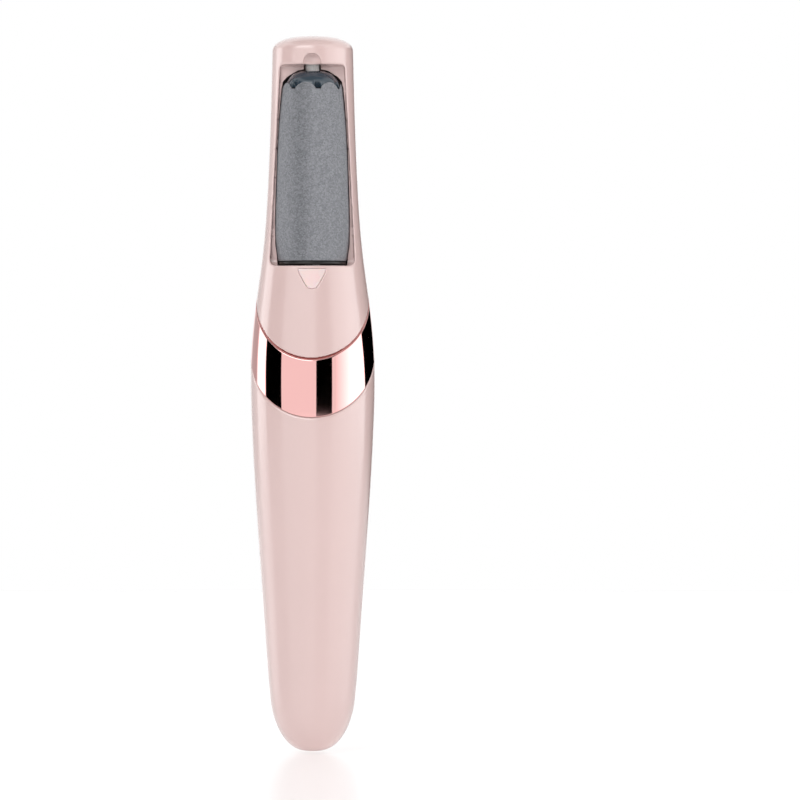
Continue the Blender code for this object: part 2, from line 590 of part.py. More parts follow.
def make_gearbox():
    base = disc("gearbox_base", GEARBOX_RADIUS, GEARBOX_LOW, GEARBOX_LOW + 1.5 * MM, INNER_WHITE, steps=36)
    boss_hole = disc("motor_boss_hole", 3.2 * MM, GEARBOX_LOW - MM, GEARBOX_LOW + 3 * MM, None, (0, MOTOR_Y))
    bearing_hole = disc("bearing_hole", 2.8 * MM, GEARBOX_LOW - MM, GEARBOX_LOW + 3 * MM, None, (0, ROLLER_Y))
    cut(base, boss_hole, bearing_hole)
    ring("lower_bearing", SPINDLE_RADIUS + GAP, 2.5 * MM, GEARBOX_LOW, GEARBOX_LOW + 1.7 * MM, BRONZE,
         (0, ROLLER_Y))

    roof = GEARBOX_TOP - 1.5 * MM
    cover = turned("gearbox_cover", ((0.0, GEARBOX_TOP), (GEARBOX_RADIUS, GEARBOX_TOP),
                                     (GEARBOX_RADIUS, GEARBOX_LOW + 1.8 * MM),
                                     (10.6 * MM, GEARBOX_LOW + 1.8 * MM), (10.6 * MM, roof), (0.0, roof)),
                   INNER_WHITE, steps=36)
    join(cover, disc("bearing_tower", 4.0 * MM, GEARBOX_TOP - 0.5 * MM, TOWER_TOP, None, (0, ROLLER_Y), 24))
    bore = disc("tower_bore", SPINDLE_RADIUS + 2 * GAP, 100 * MM, TOWER_TOP + MM, None, (0, ROLLER_Y))
    seat = disc("bush_seat", 2.9 * MM, TOWER_TOP - 4 * MM, TOWER_TOP + MM, None, (0, ROLLER_Y))
    cut(cover, bore, seat)
    ring("spindle_bush", SPINDLE_RADIUS + GAP, 2.6 * MM, TOWER_TOP - 3.7 * MM, TOWER_TOP + 0.2 * MM, BRONZE,
         (0, ROLLER_Y))
    for side, name in ((-1, "left"), (1, "right")):
        x = side * GEARBOX_SCREW_X
        post = disc(f"cover_post_{name}", 1.8 * MM, GEARBOX_LOW + 1.8 * MM, GEARBOX_TOP - MM, None,
                    (x, GEARBOX_SCREW_Y), 14)
        join(cover, post)
        cut(cover, disc(f"cover_hole_{name}", SCREW_RADIUS + GAP, 100 * MM, 115 * MM, None,
                        (x, GEARBOX_SCREW_Y), 12))
        cut(base, disc(f"base_hole_{name}", SCREW_RADIUS + GAP, 100 * MM, 115 * MM, None,
                       (x, GEARBOX_SCREW_Y), 12))
        screw_fastener(f"gearbox_screw_{name}", x, GEARBOX_SCREW_Y, GEARBOX_TOP + GAP,
                       GEARBOX_TOP + 1.3 * MM, GEARBOX_LOW + 0.2 * MM)
        cut(cover, disc(f"head_screw_hole_{name}", SCREW_RADIUS + GAP, 100 * MM, 115 * MM, None,
                        (side * BOSS_X, ROLLER_Y), 12))
        screw_fastener(f"head_screw_{name}", side * BOSS_X, ROLLER_Y, roof - GAP - 1.1 * MM, roof - GAP,
                       118.6 * MM)
    for part, name in ((base, "base"), (cover, "cover")):
        cut(part, disc(f"wire_notch_{name}", 0.9 * MM, 100 * MM, 115 * MM, None, WIRE_NOTCH, 12))

    spindle = disc("drive_spindle", SPINDLE_RADIUS, GEARBOX_LOW + GAP, 129.2 * MM, STEEL, (0, ROLLER_Y), 20)
    join(spindle, hexagon("hex_head", HEX_RADIUS, 129.0 * MM, HEX_TOP))
    centre = (0, ROLLER_Y)
    gear_low, gear_high = GEARBOX_LOW + 2.1 * MM, roof - 0.4 * MM
    gear("output_gear", OUTPUT_TEETH, SPINDLE_RADIUS + PRESS_GAP, gear_low, gear_high, centre, GEAR_NYLON,
         math.pi / 2)
    gear("motor_pinion", PINION_TEETH, SHAFT_RADIUS + PRESS_GAP, gear_low, gear_high - 0.2 * MM, (0, MOTOR_Y),
         BRASS, -math.pi / 2 + math.pi / PINION_TEETH)


# ---------------------------------------------------------------- motor
def flat_sided(thing, half_depth):
    """Flatten a round motor piece front and back."""
    low, high = MOTOR_Y / MM - half_depth, MOTOR_Y / MM + half_depth
    for i, (near, far) in enumerate(((low - 20, low), (high, high + 20))):
        cut(thing, box(f"{thing.name}_flat_{i}", (-30, near, 60), (30, far, 130)))
    return thing


def make_motor():
    centre = (0, MOTOR_Y)
    can_low = MOTOR_LOW + 2.4 * MM
    can = turned("motor_can", ((1.6 * MM, MOTOR_HIGH + 1.3 * MM), (2.9 * MM, MOTOR_HIGH + 1.3 * MM),
                               (2.9 * MM, MOTOR_HIGH), (MOTOR_RADIUS, MOTOR_HIGH), (MOTOR_RADIUS, can_low),
                               (1.6 * MM, can_low)),
                 STEEL, centre, 36)
    flat_sided(can, MOTOR_FLAT / MM)
    inside = disc("motor_inside", MOTOR_RADIUS - 0.6 * MM, can_low - MM, MOTOR_HIGH - 0.8 * MM, None,
                  centre, 36)
    cut(can, flat_sided(inside, MOTOR_FLAT / MM - 0.6))

    end_cap = disc("motor_end_cap", MOTOR_RADIUS, MOTOR_LOW, can_low - GAP, INNER_WHITE, centre, 36)
    flat_sided(end_cap, MOTOR_FLAT / MM)
    cut(end_cap, disc("end_cap_hole", SHAFT_RADIUS + GAP, 70 * MM, 90 * MM, None, centre, 12))
    for side, name in ((-1, "left"), (1, "right")):
        x = side * 7.6
        y = MOTOR_Y / MM
        cut(end_cap, box(f"terminal_slot_{name}", (x - 0.55, y - 1.5, 76), (x + 0.55, y + 1.5, 84)))
        box(f"motor_terminal_{name}", (x - 0.25, y - 1.2, 77.2), (x + 0.25, y + 1.2, 81.0), BRASS)
        magnet = ring(f"magnet_{name}", 5.9 * MM, 9.1 * MM, 84.5 * MM, 99.5 * MM, MAGNET, centre, 36)
        flat_sided(magnet, 5.6)
        middle = sorted((side * 3.2, -side * 20))
        cut(magnet, box(f"magnet_half_{name}", (middle[0], -20, 60), (middle[1], 30, 130)))

    disc("motor_shaft", SHAFT_RADIUS, MOTOR_LOW + 0.4 * MM, GEARBOX_TOP - 2.4 * MM, STEEL, centre, 16)
    armature = ring("motor_armature", SHAFT_RADIUS + PRESS_GAP, 5.5 * MM, 86 * MM, 98.5 * MM, COPPER,
                    centre, 30)
    for i in range(3):
        angle = 2 * math.pi * (i + 0.25) / 3
        place = (5.6 * MM * math.cos(angle), MOTOR_Y + 5.6 * MM * math.sin(angle))
        cut(armature, disc(f"winding_slot_{i}", 1.5 * MM, 85 * MM, 100 * MM, None, place, 12))
    ring("commutator", SHAFT_RADIUS + PRESS_GAP, 2.2 * MM, 82.2 * MM, 85.4 * MM, COPPER, centre, 16)


# ---------------------------------------------------------------- power and controls
def switch_box(name, half_x, half_z, near, far, z_shift, finish_material=None, bevel=0.0):
    """A box in the switch's leaning frame; sizes in millimetres, `near` and `far` from the axis."""
    thing = box(name, (-half_x, near, -half_z + z_shift), (half_x, far, half_z + z_shift), finish_material)
    if bevel:
        bm = bmesh.new()
        bm.from_mesh(thing.data)
        upright = [e for e in bm.edges if abs(e.verts[0].co.y - e.verts[1].co.y) > 0.0001]
        bmesh.ops.bevel(bm, geom=upright, offset=bevel * MM, segments=4, profile=0.5, affect="EDGES")
        bm.to_mesh(thing.data)
        bm.free()
    turn = Matrix.Rotation(-SWITCH_TILT, 4, "X")
    place = Matrix.Translation((0, 0, SWITCH_Z)) @ turn @ Matrix.Translation(thing.location)
    thing.matrix_world = place
    return thing


def make_power():
    chassis = box("chassis", (-7.0, 4.9, 24.0), (7.0, 5.9, 78.6), INNER_WHITE)
    top_stop = box("chassis_top", (-6.4, -8.6, 77.2), (6.4, 5.5, 78.6))
    bottom_stop = box("chassis_bottom", (-6.4, -7.2, 23.4), (6.4, 5.5, 24.6))
    shelf = box("chassis_shelf", (-6.2, -6.0, 11.2), (6.2, 5.9, 12.6))
    pieces = [top_stop, bottom_stop, shelf]
    for side, name in ((-1, "left"), (1, "right")):
        leg = sorted((side * 4.6, side * 6.2))
        pieces.append(box(f"chassis_leg_{name}", (leg[0], 4.9, 11.4), (leg[1], 5.9, 26.0)))
        arm = sorted((side * 10.5, side * 11.7))
        pieces.append(box(f"chassis_arm_{name}", (arm[0], 0.0, 77.4), (arm[1], 4.0, 100.0)))
        bridge = sorted((side * 5.5, side * 11.5))
        pieces.append(box(f"chassis_bridge_{name}", (bridge[0], -2.0, 77.4), (bridge[1], 1.0, 78.5)))
    join(chassis, *pieces)

    cell = (0, BATTERY_Y)
    wrap = ((0.0, BATTERY_HIGH), (2.4 * MM, BATTERY_HIGH), (2.4 * MM, 74.2 * MM), (6.5 * MM, 74.2 * MM),
            (BATTERY_RADIUS, 73.6 * MM), (BATTERY_RADIUS, 27.0 * MM), (6.7 * MM, BATTERY_LOW),
            (0.0, BATTERY_LOW))
    turned("battery_cell", wrap, CELL_WRAP, cell, 32)
    box("battery_tab_positive", (-2.0, -4.5, 75.3), (2.0, 3.6, 75.6), STEEL)
    box("battery_tab_negative", (-2.0, -4.5, 25.9), (2.0, 3.6, 26.2), STEEL)

    half = 0.5
    y = BOARD_Y / MM
    box("main_board", (-5.0, y - half, 22.0), (5.0, y + half, 76.4), BOARD_GREEN)
    front = y + half + 0.3
    box("control_chip", (-2.6, front, 50.0), (2.6, front + 1.4, 54.4), CHIP_BLACK, 0.15)
    box("charge_chip", (-1.8, front, 36.0), (1.8, front + 1.2, 39.6), CHIP_BLACK, 0.15)
    box("motor_transistor", (-1.5, front, 43.5), (1.5, front + 1.1, 45.3), CHIP_BLACK, 0.15)
    light = LIGHT_Z / MM
    box("charge_led", (-0.8, front, light - 0.5), (0.8, front + 0.8, light + 0.5), LENS_CLEAR, 0.1)
    pipe_back = DEPTH_RATIO * body_half_width(LIGHT_Z) - 0.1 * MM
    rod("charge_light_pipe", 1.2 * MM, (0, (front + 1.1) * MM, LIGHT_Z), (0, pipe_back, LIGHT_Z), LENS_CLEAR)

    box("usb_board", (-6.0, -5.5, 12.9), (6.0, 5.9 - 1.3, 13.7), BOARD_GREEN)
    low, high = (-3.75, 3.6, 14.0), (3.75, 9.6, 16.8)
    socket = box("usb_socket", low, high, STEEL, 0.5)
    mouth = box("usb_mouth", (low[0] + 0.4, 4.2, low[2] + 0.4), (high[0] - 0.4, 14.0, high[2] - 0.4))
    cut(socket, mouth)
    box("usb_tongue", (-2.4, 4.5, 15.1), (2.4, 8.6, 15.8), CHIP_BLACK)

    body = box("switch_body", (-3.4, front, 60.6), (3.4, front + 3.2, 75.8), STEEL, 0.2)
    cut(body, switch_box("lever_slot", 1.1, 4.7, 9.3, 13.0, 3.0))
    switch_box("switch_lever", 0.7, 1.3, 9.7, SWITCH_SURFACE - 2.6, 0.0, CHIP_BLACK)
    thumb = switch_box("switch_slider", 4.4, 7.2, SWITCH_SURFACE - 0.7, SWITCH_SURFACE + 1.2, 0.0, BODY_PINK,
                       2.1)
    stem = switch_box("slider_stem", 1.8, 2.1, SWITCH_SURFACE - 3.0, SWITCH_SURFACE, 0.0)
    fork = switch_box("slider_fork", 1.0, 1.6, SWITCH_SURFACE - 4.0, SWITCH_SURFACE - 2.2, 0.0)
    join(thumb, stem)
    cut(thumb, fork)
    for i in range(5):
        z = -4.0 + 2.0 * i
        cut(thumb, switch_box(f"grip_groove_{i}", 3.2, 0.35, SWITCH_SURFACE + 0.9, SWITCH_SURFACE + 3.0, z))


def smooth_route(points, per_leg=5):
    """Points along a smooth curve through the route, in metres."""
    knots = [Vector(p) * MM for p in points]
    knots = [2 * knots[0] - knots[1]] + knots + [2 * knots[-1] - knots[-2]]
    route = []
    for a, b, c, d in zip(knots, knots[1:], knots[2:], knots[3:]):
        for i in range(per_leg):
            t = i / per_leg
            route.append(0.5 * (2 * b + (c - a) * t + (2 * a - 5 * b + 4 * c - d) * t ** 2
                                + (3 * b - a - 3 * c + d) * t ** 3))
    route.append(knots[-2])
    return route


def make_wires():
    thick, thin = 0.45 * MM, 0.4 * MM
    routes = {
        "battery_wire_red": (WIRE_RED, thick, [(2.6, 1.0, 76.4), (6.6, 2.6, 76.2), (8.3, 5.6, 74.0),
                                               (7.4, 8.4, 70.0), (4.4, 8.6, 68.0)]),
        "battery_wire_black": (WIRE_BLACK, thick, [(2.8, 2.0, 25.5), (6.0, 3.9, 25.6), (8.2, 5.2, 27.5),
                                                   (7.0, 7.0, 30.0), (5.2, 8.4, 32.0), (3.4, 8.5, 33.2)]),
        "motor_wire_red": (WIRE_RED, thick, [(7.9, 3.6, 76.6), (9.6, 5.4, 75.6), (9.2, 8.6, 73.5),
                                             (6.8, 9.3, 73.8), (4.8, 8.8, 73.9)]),
        "motor_wire_black": (WIRE_BLACK, thick, [(-7.9, 3.6, 76.6), (-9.6, 5.4, 75.6), (-9.2, 8.6, 73.5),
                                                 (-6.8, 9.3, 73.8), (-4.8, 8.8, 73.9)]),
        "led_wire": (WIRE_WHITE, thin, [(4.2, -9.2, 119.0), (6.4, -8.9, 116.5), (8.35, -8.35, 113.0),
                                        (8.35, -8.35, 108.0), (8.35, -8.35, 103.0), (9.0, -8.4, 95.0),
                                        (9.3, -7.6, 86.0), (9.6, -4.2, 77.0), (10.2, 0.8, 74.0),
                                        (10.2, 6.0, 70.5), (8.0, 8.8, 65.0), (4.8, 8.6, 62.5)]),
        "usb_wire": (WIRE_WHITE, thin, [(-2.6, 1.0, 14.5), (-2.6, 2.4, 17.8), (-2.6, 5.4, 19.6),
                                        (-2.6, 8.3, 21.2), (-2.6, 8.9, 23.6), (-2.6, 8.3, 25.6)]),
    }
    for name, (finish_material, radius, points) in routes.items():
        tube_curve(name, smooth_route(points), radius, finish_material)


make_handle()
make_ring()
make_head()
make_head_trim()
make_roller()
make_gearbox()
make_motor()
make_power()
make_wires()
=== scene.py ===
import json
import math

import bpy
import numpy as np
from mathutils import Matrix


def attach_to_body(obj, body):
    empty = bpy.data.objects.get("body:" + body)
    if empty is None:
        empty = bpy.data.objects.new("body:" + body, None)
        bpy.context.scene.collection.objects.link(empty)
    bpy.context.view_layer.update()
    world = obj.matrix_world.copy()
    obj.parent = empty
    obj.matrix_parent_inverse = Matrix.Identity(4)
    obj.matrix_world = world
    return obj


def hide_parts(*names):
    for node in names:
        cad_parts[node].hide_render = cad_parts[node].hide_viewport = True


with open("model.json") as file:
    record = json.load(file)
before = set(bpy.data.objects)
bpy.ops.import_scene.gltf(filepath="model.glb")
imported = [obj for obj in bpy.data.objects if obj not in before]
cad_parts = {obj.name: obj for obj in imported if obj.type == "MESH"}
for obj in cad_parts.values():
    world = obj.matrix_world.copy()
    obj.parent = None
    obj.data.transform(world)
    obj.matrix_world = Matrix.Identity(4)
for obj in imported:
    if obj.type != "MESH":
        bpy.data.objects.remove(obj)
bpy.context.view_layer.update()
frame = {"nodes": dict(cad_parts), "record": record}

MM = 0.001

# ------------------------------------------------------------------ the body's outline
HEIGHT = 190.0
DEPTH_RATIO = 0.97
STATION_HEIGHTS = np.array([0, 16, 32, 60, 88, 104, 120, 132, 150, 170, 190.0])
STATION_WIDTHS = np.array([9.6, 11.5, 12.72, 14.72, 16.3, 16.42, 14.95, 13.35, 11.97, 11.18, 10.68])
BASE_ROUND = 14.0                # height of the rounded base
CROWN_ROUND = 4.0                # height of the rounded crown
ROUND_POWER = 2.2                # how both round over, along the height
BASE_POWER, CROWN_POWER = 2.8, 2.6   # and across it
SHELL_WALL = 1.8
BAND_LOW, BAND_HIGH, BAND_SLOPE = 105.3, 120.8, 1.06
SEAM = 0.3                       # gap at the slanted seams
SEAM_ROUND = 0.35                # rounding of the plastic edges beside them
RING_ROUND = 0.1                 # rounding of the metal ring's edges
STEEPNESS = math.sqrt(1 + BAND_SLOPE ** 2)
WINDOW_BOTTOM, WINDOW_TOP = 128.8, 182.0
WINDOW_TOP_HALF, WINDOW_FLARE = 8.45, 0.052
WINDOW_BACK = -5.0               # depth of the window's flat shoulders
POCKET_HEIGHTS = np.array([128.8, 130.7, 134.5, 140.5, 149.0, 160.0, 168.4,
                           175.7, 177.6, 178.8, 179.7, 180.55, 180.8, 182.5])
POCKET_RADII = np.array([9.2, 9.3, 9.81, 9.93, 9.68, 9.33, 8.83,
                         8.18, 7.8, 6.8, 5.4, 3.9, 2.4, 2.4])
ROLLER_Y = -4.0
AROUND = 192                     # facets round the large shells


def smooth_curve(heights, values):
    """The smooth curve through the points, as a function of height that works on arrays."""
    count = len(heights)
    steps = np.diff(heights)
    rises = np.diff(values) / steps
    system = np.eye(count)
    right = np.zeros(count)
    for i in range(1, count - 1):
        system[i, i - 1:i + 2] = (steps[i - 1], 2 * (steps[i - 1] + steps[i]), steps[i])
        right[i] = 6 * (rises[i] - rises[i - 1])
    bends = np.linalg.solve(system, right)

    def curve(z):
        z = np.asarray(z, float)
        i = np.clip(np.searchsorted(heights, z) - 1, 0, count - 2)
        along = z - heights[i]
        low, high = bends[i], bends[i + 1]
        slope = rises[i] - steps[i] * (2 * low + high) / 6
        return values[i] + along * slope + along ** 2 * low / 2 + along ** 3 * (high - low) / (6 * steps[i])

    return curve


smooth_width = smooth_curve(STATION_HEIGHTS, STATION_WIDTHS)


def body_width(z):
    """Half width of the body with its rounded base."""
    z = np.asarray(z, float)
    near = np.clip(1 - z / BASE_ROUND, 0, 1)
    return smooth_width(z) * (1 - near ** ROUND_POWER) ** (1 / BASE_POWER)


def window_width(z):
    """Half width of the window, which widens downwards."""
    return WINDOW_TOP_HALF + WINDOW_FLARE * (WINDOW_TOP - z)


# ------------------------------------------------------------------ mesh helpers
def make_piece(name, vertices, faces, finish, smooth_angle=40):
    """An object from vertices in millimetres."""
    mesh = bpy.data.meshes.new(name)
    mesh.from_pydata((np.asarray(vertices) * MM).tolist(), [], faces)
    mesh.validate()
    mesh.shade_smooth()
    mesh.set_sharp_from_angle(angle=math.radians(smooth_angle))
    mesh.materials.append(finish)
    piece = bpy.data.objects.new(name, mesh)
    bpy.context.scene.collection.objects.link(piece)
    return piece


def loft(name, rings, finish, closed=True, smooth_angle=40):
    """Quads between rings of equally many points. The last ring joins the first, or both get a cap."""
    count = len(rings[0])
    vertices = np.concatenate(rings)
    faces = []
    pairs = [(i, i + 1) for i in range(len(rings) - 1)]
    if closed:
        pairs.append((len(rings) - 1, 0))
    else:
        faces.append(tuple(range(count - 1, -1, -1)))
        faces.append(tuple((len(rings) - 1) * count + j for j in range(count)))
    for low, high in pairs:
        for j in range(count):
            k = (j + 1) % count
            faces.append((low * count + j, low * count + k, high * count + k, high * count + j))
    return make_piece(name, vertices, faces, finish, smooth_angle)


def circle_angles(count):
    return np.arange(count) * 2 * math.pi / count


def roller_ring(radius, height, angles):
    """A ring round the roller's axis; radius and height are single numbers or one for each angle."""
    heights = np.broadcast_to(height, angles.shape)
    return np.stack([radius * np.cos(angles), ROLLER_Y + radius * np.sin(angles), heights], axis=1)


def rounded_profile(corners, radius, steps=5):
    """Round the corners of a closed (radius, height) outline."""
    corners = [np.array(c, float) for c in corners]
    outline = []
    for i, corner in enumerate(corners):
        before, after = corners[i - 1], corners[(i + 1) % len(corners)]
        back, ahead = before - corner, after - corner
        reach = min(radius, np.linalg.norm(back) / 2.2, np.linalg.norm(ahead) / 2.2)
        start = corner + back / np.linalg.norm(back) * reach
        stop = corner + ahead / np.linalg.norm(ahead) * reach
        for step in range(steps + 1):
            t = step / steps
            outline.append((1 - t) ** 2 * start + 2 * t * (1 - t) * corner + t ** 2 * stop)
    return outline


def slanted_ring(offset, inset):
    """The ring where the body, moved inwards by `inset`, meets the band plane at `offset`."""
    angles = circle_angles(AROUND)
    z = np.full(AROUND, float(offset))
    for _ in range(30):
        z = offset + BAND_SLOPE * DEPTH_RATIO * (body_width(z) - inset) * np.sin(angles)
    width = body_width(z) - inset
    return np.stack([width * np.cos(angles), DEPTH_RATIO * width * np.sin(angles), z], axis=1)


def edge_rings(offset, upward, steps=4):
    """Rings of the metal ring's rounded edge, from its outer surface to the seam; upward is 1 or -1."""
    rings = []
    for step in range(steps + 1):
        turn = math.pi / 2 * step / steps
        drop = RING_ROUND * STEEPNESS * (1 - math.sin(turn))
        rings.append(slanted_ring(offset - upward * drop, RING_ROUND * (1 - math.cos(turn))))
    return rings


# ------------------------------------------------------------------ materials
class Nodes:
    """Short names for building a procedural material round one Principled shader."""

    def __init__(self, name):
        self.material = bpy.data.materials.new(name)
        self.material.use_nodes = True
        self.tree = self.material.node_tree
        self.shader = self.tree.nodes["Principled BSDF"]
        self.place = self.tree.nodes.new("ShaderNodeTexCoord").outputs["Object"]

    def set(self, **values):
        for label, value in values.items():
            self.shader.inputs[label.replace("_", " ")].default_value = value
        return self

    def noise(self, scale, detail=3.0, roughness=0.55, stretch=None):
        """Noise with `scale` features per metre; stretch scales the three axes first."""
        texture = self.tree.nodes.new("ShaderNodeTexNoise")
        texture.inputs["Scale"].default_value = scale
        texture.inputs["Detail"].default_value = detail
        texture.inputs["Roughness"].default_value = roughness
        source = self.place
        if stretch:
            mapping = self.tree.nodes.new("ShaderNodeMapping")
            mapping.inputs["Scale"].default_value = stretch
            self.tree.links.new(source, mapping.inputs["Vector"])
            source = mapping.outputs["Vector"]
        self.tree.links.new(source, texture.inputs["Vector"])
        return texture.outputs["Fac"]

    def cells(self, scale):
        """A random colour for each grain, with `scale` grains per metre."""
        texture = self.tree.nodes.new("ShaderNodeTexVoronoi")
        texture.inputs["Scale"].default_value = scale
        self.tree.links.new(self.place, texture.inputs["Vector"])
        return texture.outputs["Color"]

    def ramp(self, source, stops):
        ramp = self.tree.nodes.new("ShaderNodeValToRGB")
        while len(ramp.color_ramp.elements) < len(stops):
            ramp.color_ramp.elements.new(0.5)
        for element, (position, colour) in zip(ramp.color_ramp.elements, stops):
            element.position = position
            element.color = (*colour, 1.0)
        self.tree.links.new(source, ramp.inputs["Fac"])
        return ramp.outputs["Color"]

    def spread(self, source, low, high):
        """Map 0..1 to low..high."""
        node = self.tree.nodes.new("ShaderNodeMapRange")
        node.inputs["To Min"].default_value = low
        node.inputs["To Max"].default_value = high
        self.tree.links.new(source, node.inputs["Value"])
        return node.outputs["Result"]

    def math(self, operation, first, second):
        node = self.tree.nodes.new("ShaderNodeMath")
        node.operation = operation
        for socket, value in zip(node.inputs, (first, second)):
            if isinstance(value, (int, float)):
                socket.default_value = value
            else:
                self.tree.links.new(value, socket)
        return node.outputs["Value"]

    def mix(self, factor, first, second):
        node = self.tree.nodes.new("ShaderNodeMix")
        node.data_type = "RGBA"
        sockets = (node.inputs["Factor"], node.inputs[6], node.inputs[7])
        for socket, value in zip(sockets, (factor, first, second)):
            if isinstance(value, tuple):
                socket.default_value = (*value, 1.0)
            elif isinstance(value, (int, float)):
                socket.default_value = value
            else:
                self.tree.links.new(value, socket)
        return node.outputs[2]

    def into(self, label, source):
        self.tree.links.new(source, self.shader.inputs[label])

    def part(self, kind, source, output):
        """One output of a node that splits a colour or a place into three."""
        node = self.tree.nodes.new(kind)
        self.tree.links.new(source, node.inputs[0])
        return node.outputs[output]

    def bump(self, source, distance, strength=1.0):
        node = self.tree.nodes.new("ShaderNodeBump")
        node.inputs["Distance"].default_value = distance
        node.inputs["Strength"].default_value = strength
        self.tree.links.new(source, node.inputs["Height"])
        self.tree.links.new(node.outputs["Normal"], self.shader.inputs["Normal"])


def moulded(name, colour, rough, bump_mm=0.004, grain=1400, tint=0.05, metallic=0.0):
    """Moulded plastic or plain metal: slight tone drift, uneven gloss and a fine skin."""
    nodes = Nodes(name).set(Metallic=metallic)
    dark = tuple(c * (1 - tint) for c in colour)
    light = tuple(min(c * (1 + tint), 1.0) for c in colour)
    nodes.into("Base Color", nodes.mix(nodes.noise(60), dark, light))
    nodes.into("Roughness", nodes.spread(nodes.noise(320), rough * 0.85, rough * 1.15))
    nodes.bump(nodes.noise(grain), bump_mm * MM)
    return nodes


def plain(*details):
    """A moulded material with nothing added to it."""
    return moulded(*details).material


def pink_plastic():
    nodes = moulded("pink_satin_plastic", (0.778, 0.574, 0.55), 0.23, 0.0025, 1800, 0.02)
    nodes.set(Coat_Weight=1.0, Coat_Roughness=0.13, Coat_IOR=1.47, Specular_IOR_Level=0.6)
    return nodes.material


# A dark reflection painted into the grit's colour down the roller's front.
PAINTED_REFLECTION_X, PAINTED_REFLECTION_HALF, PAINTED_REFLECTION_TONE = -3.1, 2.3, -0.2     # where it runs, how wide, how dark


def mineral():
    """Fine grey grit, with a broad dark reflection painted down the front."""
    nodes = Nodes("grey_mineral_grit")
    grain = nodes.part("ShaderNodeSeparateColor", nodes.cells(2800), "Red")
    fine = nodes.noise(5000, 4.0, 0.7)
    broad = nodes.noise(420, 3.0)
    tone = nodes.math("ADD", nodes.math("MULTIPLY", grain, 0.4), nodes.math("MULTIPLY", fine, 0.6))
    tone = nodes.math("ADD", tone, nodes.spread(broad, -0.07, 0.07))
    # Painted dark reflection: a soft band that darkens the grit, on the front half only.
    across = nodes.part("ShaderNodeSeparateXYZ", nodes.place, "X")
    away = nodes.math("MULTIPLY", nodes.math("ADD", across, -PAINTED_REFLECTION_X * MM), 1 / (PAINTED_REFLECTION_HALF * MM))
    painted_reflection_profile = nodes.math("POWER", 2.718, nodes.math("MULTIPLY", nodes.math("MULTIPLY", away, away), -1.0))
    front = nodes.math("LESS_THAN", nodes.part("ShaderNodeSeparateXYZ", nodes.place, "Y"), ROLLER_Y * MM)
    painted_reflection = nodes.math("MULTIPLY", nodes.math("MULTIPLY", painted_reflection_profile, front), PAINTED_REFLECTION_TONE)
    tone = nodes.math("ADD", tone, painted_reflection)
    colour = nodes.ramp(tone, [(0.1, (0.14, 0.145, 0.158)), (0.5, (0.25, 0.255, 0.275)),
                               (0.8, (0.335, 0.34, 0.365)), (0.95, (0.5, 0.5, 0.52))])
    nodes.into("Base Color", colour)
    nodes.into("Roughness", nodes.spread(fine, 0.6, 0.95))
    nodes.bump(fine, 0.07 * MM, 0.8)
    return nodes.material


def slate_gloss():
    nodes = moulded("slate_gloss_plastic", (0.03, 0.05, 0.07), 0.16, 0.003, 900, 0.12)
    nodes.set(Coat_Weight=0.6, Coat_Roughness=0.05)
    return nodes.material


def lens_plastic():
    nodes = moulded("frosted_lens", (0.95, 0.675, 0.66), 0.33, 0.004, 1500, 0.02)
    # The faint emission is a painted glow that brightens the lens.
    nodes.set(Subsurface_Weight=0.35, Subsurface_Scale=0.004, Emission_Color=(1.0, 0.93, 0.91, 1.0),
              Emission_Strength=0.04)
    return nodes.material


def brushed(name, colour, rough, stretch=(1, 1, 0.05)):
    """Metal with fine lines along its height."""
    nodes = Nodes(name).set(Metallic=1.0)
    lines = nodes.noise(3000, 2.0, 0.6, stretch)
    nodes.into("Base Color", nodes.ramp(lines, [(0.3, tuple(c * 0.85 for c in colour)), (0.7, colour)]))
    nodes.into("Roughness", nodes.spread(lines, rough * 0.7, rough * 1.3))
    nodes.bump(lines, 0.004 * MM)
    return nodes.material


PINK = pink_plastic()
CHROME = plain("rose_gold_plate", (0.93, 0.53, 0.51), 0.05, 0.0006, 500, 0.01, 1.0)
GRIT = mineral()
SLATE = slate_gloss()
BLACK = plain("satin_black_plastic", (0.008, 0.007, 0.007), 0.4, 0.004, 1500, 0.1)
WHITE = plain("white_acetal", (0.95, 0.93, 0.92), 0.33, 0.004, 1500, 0.02)
LENS = lens_plastic()

SLOT_FINISHES = {
    "body_pink": PINK,
    "rose_chrome": CHROME,
    "lens_clear": LENS,
    "mineral_grey": GRIT,
    "cap_slate": SLATE,
    "base_black": BLACK,
    "pin_white": WHITE,
    "inner_white": plain("natural_plastic", (0.72, 0.71, 0.68), 0.5, 0.008, 1200, 0.03),
    "gear_nylon": plain("gear_nylon", (0.76, 0.72, 0.6), 0.42, 0.006, 1500, 0.04),
    "steel": brushed("bright_steel", (0.66, 0.66, 0.67), 0.26),
    "brass": brushed("plain_brass", (0.8, 0.6, 0.28), 0.28),
    "bronze": brushed("sintered_bronze", (0.55, 0.36, 0.2), 0.45),
    "copper": brushed("enamelled_copper", (0.74, 0.37, 0.2), 0.35, (1, 1, 8)),
    "magnet": plain("ferrite", (0.075, 0.075, 0.08), 0.6, 0.012, 1800, 0.1),
    "board_green": plain("board_laminate", (0.02, 0.17, 0.075), 0.42, 0.006, 2400, 0.12),
    "chip_black": plain("chip_epoxy", (0.018, 0.018, 0.02), 0.5, 0.008, 3000, 0.1),
    "cell_wrap": plain("cell_wrap", (0.05, 0.17, 0.43), 0.3, 0.006, 700, 0.06),
    "wire_red": plain("red_insulation", (0.56, 0.02, 0.02), 0.42, 0.006, 1500, 0.05),
    "wire_black": plain("black_insulation", (0.022, 0.022, 0.022), 0.42, 0.006, 1500, 0.05),
    "wire_white": plain("white_insulation", (0.78, 0.78, 0.75), 0.42, 0.006, 1500, 0.03),
    "seal_rubber": plain("seal_rubber", (0.02, 0.02, 0.02), 0.8, 0.01, 1500, 0.1),
}


def finish_cad_nodes():
    """Give every CAD node the material of its slot."""
    for entry in frame["record"]["subparts"]:
        node = frame["nodes"][entry["node"]]
        node.data.materials.clear()
        node.data.materials.append(SLOT_FINISHES[entry["material_slot"]])


